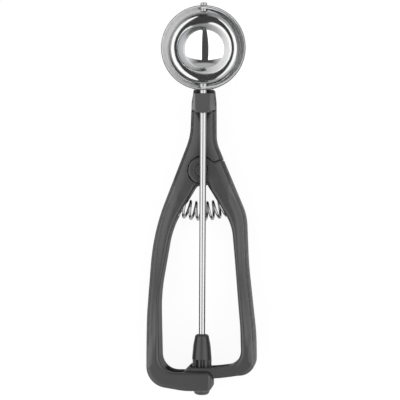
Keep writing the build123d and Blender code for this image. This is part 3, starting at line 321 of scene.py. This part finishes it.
def grip_skin(form, inside):
    """Mesh of the soft grip: the part of the form that it covers, as a sheet."""
    faces = [list(face.vertices) for face in form.polygons]
    faces = [face for face in faces if min(inside[i] for i in face) > GRIP_BORDER]
    used = sorted({i for face in faces for i in face})
    order = {i: count for count, i in enumerate(used)}
    spots = {i: form.vertices[i].co.copy() for i in used}
    lowest = {}
    for edge in form.edges:
        for i, other in (edge.vertices, reversed(edge.vertices)):
            if i not in order or inside[other] > GRIP_BORDER:
                continue
            if inside[other] < lowest.get(i, (SEARCH,))[0]:
                lowest[i] = (inside[other], other)
    for i, (depth, other) in lowest.items():
        share = (inside[i] - GRIP_BORDER) / (inside[i] - depth)
        spots[i] = spots[i].lerp(form.vertices[other].co, share)
    skin = [spots[i] for i in used]
    lining = [spots[i] - form.vertices[i].normal * GRIP_SHEET / 1000 for i in used]
    count = len(used)
    outer = [[order[i] for i in face] for face in faces]
    inner = [[i + count for i in reversed(face)] for face in outer]
    sides = {side for face in outer for side in zip(face, face[1:] + face[:1])}
    border = [[b, a, a + count, b + count] for a, b in sides if (b, a) not in sides]
    mesh = bpy.data.meshes.new("grip")
    mesh.from_pydata(skin + lining, [], outer + inner + border)
    return mesh


def core_skin(form, inside):
    """Mesh of the moulded handle: the form, sunk a little where the soft grip covers it."""
    mesh = form.copy()
    sunk = []
    for vertex, depth in zip(form.vertices, inside):
        share = min(1, max(0, (depth - SINK_START) / SINK_REACH))
        sink = CORE_SINK * share**2 * (3 - 2 * share)
        sunk.append(vertex.co - vertex.normal * sink / 1000)
    for vertex, spot in zip(mesh.vertices, sunk):
        vertex.co = spot
    mesh.update()
    return mesh


# Moulded nylon: matt dark grey with the fine spark-eroded grain of the mould, about 0.2 mm and
# drawn at 0.6 mm so that it shows, and slow patches where the gloss is a little higher. The steep
# walls were drawn out of a rougher mould and are duller.
GRAIN, PATCH, COLOUR_DRIFT = 0.6, 9.0, 0.12
WALL_MATT, STEEP_FROM, STEEP_TO = 0.35, 0.1, 0.25


def moulded(name, colour, low_gloss, high_gloss, relief):
    """Material of a matt moulding: grain in the relief, patches in the gloss, colour drift."""
    material, tree, shader = start_material(name, colour, low_gloss, 0.0)
    place_of = node(tree, "TexCoord", {}).outputs["Object"]
    grain = node(tree, "TexNoise", {"Vector": place_of, "Scale": 1000 / GRAIN, "Detail": 4.0})
    patch = node(tree, "TexNoise", {"Vector": place_of, "Scale": 1000 / PATCH, "Detail": 3.0})
    gloss = node(
        tree, "MapRange", {"Value": patch.outputs["Fac"], "To Min": low_gloss, "To Max": high_gloss}
    )
    normal = node(tree, "NewGeometry", {}).outputs["Normal"]
    square = node(tree, "VectorMath", {0: normal, 1: facing}, operation="DOT_PRODUCT")
    square = node(tree, "Math", {0: square.outputs["Value"]}, operation="ABSOLUTE")
    steep = node(
        tree, "MapRange",
        {
            "Value": square.outputs[0], "From Min": STEEP_FROM, "From Max": STEEP_TO,
            "To Min": WALL_MATT, "To Max": 0.0,
        },
    )
    rough = node(
        tree, "Math", {0: gloss.outputs["Result"], 1: steep.outputs["Result"]}, operation="ADD"
    )
    tree.links.new(rough.outputs[0], shader.inputs["Roughness"])
    drift = node(
        tree, "MapRange",
        {"Value": grain.outputs["Fac"], "To Min": 1 - COLOUR_DRIFT, "To Max": 1 + COLOUR_DRIFT},
    )
    tint = node(
        tree, "Mix", {0: 1.0, 6: linear(colour), 7: drift.outputs["Result"]},
        data_type="RGBA", blend_type="MULTIPLY",
    )
    tree.links.new(tint.outputs[2], shader.inputs["Base Color"])
    bump = node(
        tree, "Bump", {"Height": grain.outputs["Fac"], "Strength": relief, "Distance": 0.0001}
    )
    tree.links.new(bump.outputs["Normal"], shader.inputs["Normal"])
    return material


moulded_nylon = moulded("moulded_nylon", "#2b2b2b", 0.3, 0.4, 0.08)

# Soft grip: moulded rubber, a little paler and duller than the nylon, with a deeper grain
soft_grip = moulded("soft_grip_rubber", "#3e3e3e", 0.31, 0.41, 0.1)

left_form, left_inside = soft_form("frame_handle", "frame_grip", "lever_handle")
left_core = core_skin(left_form, left_inside)
place("left_handle", left_core, "frame", "handle_plastic", moulded_nylon, "frame_handle")
left_sheet = grip_skin(left_form, left_inside)
place("left_grip", left_sheet, "frame", "soft_grip", soft_grip, "frame_grip")

# Collar on the neck
# A wedge-sided moulding in the same nylon as the handles, its colour painted paler to stand in for
# light on its front panel, pushed with two pegs into a recess of the neck, that holds the rod down
# where it enters the bowl.
# Same nylon, painted paler: the lighter tone is painted light on the collar, not a different
# plastic
collar_nylon_painted_light = moulded("collar_nylon_painted_light", "#383838", 0.32, 0.42, 0.08)
finish(collar_nylon_painted_light, "neck_cover")

# Pivot
# A moulded nylon pin with a flat head sunk flush in the hinge disc, a thin steel washer between
# the two halves of the hinge and a steel push-on ring at the back.
finish(moulded_nylon, "pivot_pin")
finish(bright_steel, "pivot_washer", "pivot_retainer")

# Return spring
# An open coil of bright round wire, bent to an arch, that stands over a peg in a round pocket of
# each arm and pushes the arms apart.
WIRE_R, COIL_R, ARCH_R, ARCH_X, ARCH_Y, SPRING_Z = 0.75, 4.85, 36.0, -1.2, 13.4, -9.3
SPRING_LEFT, SPRING_RIGHT, SPRING_START = -22.02, 23.69, 127.0
SPRING_TURNS, FLAT_TURNS, SEAT_ROOM = 8.0, 0.4, 0.06
WIRE_SEAT = math.degrees((WIRE_R + SEAT_ROOM) / (ARCH_R - COIL_R))
COIL_PITCH = (SPRING_RIGHT - SPRING_LEFT - 2 * WIRE_SEAT) / (SPRING_TURNS - FLAT_TURNS)


def on_arch(radius, angle, z):
    """Point about the middle of the arch, its angle in degrees from straight down the handles."""
    turn = math.radians(angle)
    return at(ARCH_X + radius * math.sin(turn), ARCH_Y - radius * math.cos(turn), z)


wire = bpy.data.curves.new("wire", "CURVE")
wire.dimensions = "3D"
wire.bevel_depth = WIRE_R / 1000
wire.bevel_resolution = 4
wire.use_fill_caps = True
TURN_STEPS = 48
line = wire.splines.new("POLY")
line.points.add(int(SPRING_TURNS * TURN_STEPS))
for step, point in enumerate(line.points):
    turn = step / TURN_STEPS
    left = SPRING_TURNS - turn
    if turn < FLAT_TURNS:
        advance = turn**2 / (2 * FLAT_TURNS)
    elif left < FLAT_TURNS:
        advance = SPRING_TURNS - FLAT_TURNS - left**2 / (2 * FLAT_TURNS)
    else:
        advance = turn - FLAT_TURNS / 2
    wind = math.radians(SPRING_START - 360 * turn)
    angle = SPRING_LEFT + WIRE_SEAT + COIL_PITCH * advance
    spot = on_arch(ARCH_R + COIL_R * math.cos(wind), angle, SPRING_Z + COIL_R * math.sin(wind))
    point.co = (*spot, 1)
wire_piece = bpy.data.objects.new("wire", wire)
scene.collection.objects.link(wire_piece)
bpy.context.view_layer.update()
spring_mesh = bpy.data.meshes.new_from_object(wire_piece)
bpy.data.objects.remove(wire_piece)

# Spring wire: bright drawn steel, its gloss broken by faint scale that the drawing left
SCALE_LENGTH = 1.5
spring_steel, tree, shader = start_material("spring_wire_bright", "#969698", 0.14, 1.0)
place_of = node(tree, "TexCoord", {}).outputs["Object"]
scale = node(tree, "TexNoise", {"Vector": place_of, "Scale": 1000 / SCALE_LENGTH, "Detail": 4.0})
rough = node(tree, "MapRange", {"Value": scale.outputs["Fac"], "To Min": 0.08, "To Max": 0.26})
tree.links.new(rough.outputs["Result"], shader.inputs["Roughness"])
bump = node(tree, "Bump", {"Height": scale.outputs["Fac"], "Strength": 0.08, "Distance": 0.00005})
tree.links.new(bump.outputs["Normal"], shader.inputs["Normal"])
spring = place("wound_spring", spring_mesh, None, "spring_steel", spring_steel, "return_spring")
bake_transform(spring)

# Drive rod
# A ground steel rod in front of the handles, from the bearing in the foot to the blade in the
# bowl, chamfered at both ends. The boot is pinned to it.
ROD_R, ROD_LOW_Y, ROD_TOP_Y, ROD_CHAMFER, ROD_ROUND = 1.8, -119.6, 47.31, 0.3, 64
rod_length = ROD_TOP_Y - ROD_LOW_Y
rod_profile = [
    (0, 0), (ROD_R - ROD_CHAMFER, 0), (ROD_R, ROD_CHAMFER), (ROD_R, rod_length - ROD_CHAMFER),
    (ROD_R - ROD_CHAMFER, rod_length), (0, rod_length),
]

# Drawn steel: bright, with fine lines along the rod about 0.15 mm apart, drawn 0.5 mm apart and
# stretched twenty times along it, in both the gloss and the relief
LINE_SPACING, LINE_STRETCH = 0.5, 20.0
drawn_steel, tree, shader = start_material("drawn_steel_rod", "#a0a0a1", 0.2, 1.0)
place_of = node(tree, "TexCoord", {}).outputs["Object"]
squeezed = node(
    tree, "VectorMath", {0: place_of, 1: (1, 1 / LINE_STRETCH, 1)}, operation="MULTIPLY"
)
lines = node(
    tree, "TexNoise", {"Vector": squeezed.outputs[0], "Scale": 1000 / LINE_SPACING, "Detail": 2.0}
)
rough = node(tree, "MapRange", {"Value": lines.outputs["Fac"], "To Min": 0.14, "To Max": 0.24})
tree.links.new(rough.outputs["Result"], shader.inputs["Roughness"])
bump = node(tree, "Bump", {"Height": lines.outputs["Fac"], "Strength": 0.02, "Distance": 0.00005})
tree.links.new(bump.outputs["Normal"], shader.inputs["Normal"])
rod_mesh = turned(at(0, ROD_LOW_Y, 0), along, rod_profile, ROD_ROUND)
place("bright_rod", rod_mesh, "sweep", "polished_steel", drawn_steel, "drive_rod")

# Blade and its collar
# A curved strip of stainless sheet that hugs the inside of the bowl, narrowing to a lug on the
# rod below and on the rivet above. A steel collar fixes the lower lug to the rod.
BLADE_R, BLADE_SHEET, BLADE_WIDTH, BLADE_REST = 22.3, 0.7, 11.2, 20.5
LUG_WIDTH, LUG_RISE = 5.6, 2.45
SPAN_STEPS, WIDTH_STEPS = 96, 12
EDGE_R = (BLADE_R**2 + ((BLADE_WIDTH - LUG_WIDTH) / 2) ** 2) / (BLADE_WIDTH - LUG_WIDTH)
blade_turn = math.radians(BLADE_REST - 90)
blade_side = across * math.cos(blade_turn) - facing * math.sin(blade_turn)
blade_back = -across * math.sin(blade_turn) - facing * math.cos(blade_turn)


def on_blade(span, width, radius):
    """Point of the blade, from -1 to 1 along and across it, on a sphere in the bowl."""
    reach = math.sin(span * math.acos(-LUG_RISE / BLADE_R)) * BLADE_R
    half_width = BLADE_WIDTH / 2 - EDGE_R + math.sqrt(EDGE_R**2 - reach**2)
    swing = width * math.asin(half_width / BLADE_R)
    turn = span * math.acos(-LUG_RISE / (BLADE_R * math.cos(swing)))
    ahead = along * math.sin(turn) + blade_back * math.cos(turn)
    return BOWL_CENTRE + (ahead * math.cos(swing) + blade_side * math.sin(swing)) * radius / 1000


work = bmesh.new()
layers = [
    [
        [
            work.verts.new(on_blade(2 * i / SPAN_STEPS - 1, 2 * j / WIDTH_STEPS - 1, radius))
            for j in range(WIDTH_STEPS + 1)
        ]
        for i in range(SPAN_STEPS + 1)
    ]
    for radius in (BLADE_R, BLADE_R - BLADE_SHEET)
]
for layer in layers:
    for row, after in zip(layer, layer[1:]):
        for j in range(WIDTH_STEPS):
            work.faces.new((row[j], row[j + 1], after[j + 1], after[j]))
outer, inner = layers
for i in range(SPAN_STEPS):
    for j in (0, WIDTH_STEPS):
        work.faces.new((outer[i][j], outer[i + 1][j], inner[i + 1][j], inner[i][j]))
for j in range(WIDTH_STEPS):
    for i in (0, SPAN_STEPS):
        work.faces.new((outer[i][j], outer[i][j + 1], inner[i][j + 1], inner[i][j]))
bmesh.ops.recalc_face_normals(work, faces=work.faces)
blade_mesh = bpy.data.meshes.new("blade")
work.to_mesh(blade_mesh)
work.free()

# Satin stainless sheet: duller and darker than the bowl, with rolling marks about 0.3 mm wide
# along the strip, drawn 0.8 mm wide
ROLL_WIDTH = 0.8
blade_steel, tree, shader = start_material("blade_stainless_satin", "#929395", 0.24, 1.0)
place_of = node(tree, "TexCoord", {}).outputs["Object"]
sideways = node(tree, "VectorMath", {0: place_of, 1: blade_side}, operation="DOT_PRODUCT")
marks = node(
    tree, "TexNoise", {"W": sideways.outputs["Value"], "Scale": 1000 / ROLL_WIDTH, "Detail": 3.0},
    noise_dimensions="1D",
)
rough = node(tree, "MapRange", {"Value": marks.outputs["Fac"], "To Min": 0.16, "To Max": 0.34})
tree.links.new(rough.outputs["Result"], shader.inputs["Roughness"])
bump = node(tree, "Bump", {"Height": marks.outputs["Fac"], "Strength": 0.08, "Distance": 0.00005})
tree.links.new(bump.outputs["Normal"], shader.inputs["Normal"])
place("curved_blade", blade_mesh, "sweep", "blade_steel", blade_steel, "sweep_blade")
finish(bright_steel, "blade_collar")

# Boot and its pin
# A tapered boot in near-black acetal, moulded with seven pinion teeth at its lower end and pinned
# across the rod. The pin's ends lie under the boot's skin.
boot_acetal = moulded("boot_acetal", "#222222", 0.32, 0.44, 0.1)
finish(boot_acetal, "pinion_boot")
finish(bright_steel, "boot_pin")

# Right handle and its grip
# The squeezed handle, in the same nylon, with the hinge disc at its top and the rack arm that
# runs into the foot. Its outer half is the same soft grip.
right_form, right_inside = soft_form("lever_handle", "lever_grip", "frame_handle")
right_core = core_skin(right_form, right_inside)
place("right_handle", right_core, "lever", "handle_plastic", moulded_nylon, "lever_handle")
right_sheet = grip_skin(right_form, right_inside)
place("right_grip", right_sheet, "lever", "soft_grip", soft_grip, "lever_grip")

# Lower bearing
# A flanged bush in the acetal of the boot, pressed into the floor of the foot and closed from
# below by a domed nylon plug.
finish(boot_acetal, "foot_bush")
finish(moulded_nylon, "foot_cap")

# Paper, light and camera
# White paper that keeps a faint shadow, two tall softboxes with a dark gap between them for the
# camera, and a pale room to both sides and beyond the bowl. The camera looks almost square on,
# from a little to the right.
WHITE_SHARE = 0.93
paper, tree, shader = start_material("white_paper", "#f6f6f6", 0.9, 0.0)
path = node(tree, "LightPath", {}).outputs
seen = node(tree, "Math", {0: path["Is Camera Ray"], 1: path["Is Glossy Ray"]}, operation="ADD")
seen = node(
    tree, "Math", {0: seen.outputs[0], 1: path["Is Transmission Ray"]},
    operation="ADD", use_clamp=True,
)
share = node(tree, "Math", {0: seen.outputs[0], 1: WHITE_SHARE}, operation="MULTIPLY")
glow = node(tree, "Emission", {"Color": linear("#ffffff"), "Strength": 1.0})
mix = node(tree, "MixShader", {0: share.outputs[0], 1: shader.outputs[0], 2: glow.outputs[0]})
tree.links.new(mix.outputs[0], tree.nodes["Material Output"].inputs["Surface"])
PAPER = 2.0
corners = [(-PAPER, -PAPER, 0), (PAPER, -PAPER, 0), (PAPER, PAPER, 0), (-PAPER, PAPER, 0)]
sheet = bpy.data.meshes.new("paper")
sheet.from_pydata(corners, [], [(0, 1, 2, 3)])
sheet.materials.append(paper)
floor = bpy.data.objects.new("paper", sheet)
scene.collection.objects.link(floor)

GAP_LEVEL, SIDE_LEVEL, SIDE_FROM, SIDE_TO = 0.085, 1.0, 0.3, 0.8
CEILING_LEVEL, CEILING_FROM, CEILING_TO = 0.55, 0.58, 0.64
room = bpy.data.worlds.new("room")
room.use_nodes = True
tree = room.node_tree
outlook = node(tree, "TexCoord", {}).outputs["Generated"]
aside = node(tree, "VectorMath", {0: outlook, 1: across}, operation="DOT_PRODUCT")
aside = node(tree, "Math", {0: aside.outputs["Value"]}, operation="ABSOLUTE")
pale = node(
    tree, "MapRange",
    {
        "Value": aside.outputs[0], "From Min": SIDE_FROM, "From Max": SIDE_TO,
        "To Min": GAP_LEVEL, "To Max": SIDE_LEVEL,
    },
)
upward = node(tree, "VectorMath", {0: outlook, 1: along}, operation="DOT_PRODUCT")
ceiling = node(
    tree, "MapRange",
    {
        "Value": upward.outputs["Value"], "From Min": CEILING_FROM, "From Max": CEILING_TO,
        "To Min": 0.0, "To Max": CEILING_LEVEL,
    },
)
glare = node(
    tree, "Math", {0: pale.outputs["Result"], 1: ceiling.outputs["Result"]}, operation="MAXIMUM"
)
tree.links.new(glare.outputs[0], tree.nodes["Background"].inputs["Strength"])
tree.nodes["Background"].inputs["Color"].default_value = linear("#ffffff")
scene.world = room

BOX_NEAR, BOX_FAR, BOX_LOW, BOX_HIGH = 129, 1900, -1600, 500
BOX_AWAY, BOX_LEVEL = 750, 1.9
for side in (-1, 1):
    lamp = bpy.data.lights.new("softbox", "AREA")
    lamp.shape = "RECTANGLE"
    lamp.size = (BOX_FAR - BOX_NEAR) / 1000
    lamp.size_y = (BOX_HIGH - BOX_LOW) / 1000
    lamp.energy = BOX_LEVEL * math.pi * lamp.size * lamp.size_y
    softbox = bpy.data.objects.new("softbox", lamp)
    scene.collection.objects.link(softbox)
    turn = Matrix((across, along, facing)).transposed().to_4x4()
    turn.translation = at(side * (BOX_NEAR + BOX_FAR) / 2, (BOX_LOW + BOX_HIGH) / 2, BOX_AWAY)
    softbox.matrix_world = turn

DISTANCE, VIEW_WIDTH, SENSOR, AIM_X, AIM_Y = 0.95, 0.22, 36, -1.5, -16.5
lean, roll = math.radians(4.7), math.radians(0.32)
towards = facing * math.cos(lean) + across * math.sin(lean)
rightward = along.cross(towards)
right = rightward * math.cos(roll) + along * math.sin(roll)
up = along * math.cos(roll) - rightward * math.sin(roll)
lens = bpy.data.cameras.new("camera")
lens.sensor_width = SENSOR
lens.lens = SENSOR * DISTANCE / VIEW_WIDTH
camera = bpy.data.objects.new("camera", lens)
stand = Matrix((right, up, towards)).transposed().to_4x4()
stand.translation = at(AIM_X, AIM_Y, 0) + towards * DISTANCE
camera.matrix_world = stand
scene.collection.objects.link(camera)
scene.camera = camera
scene.view_settings.view_transform = "Standard"
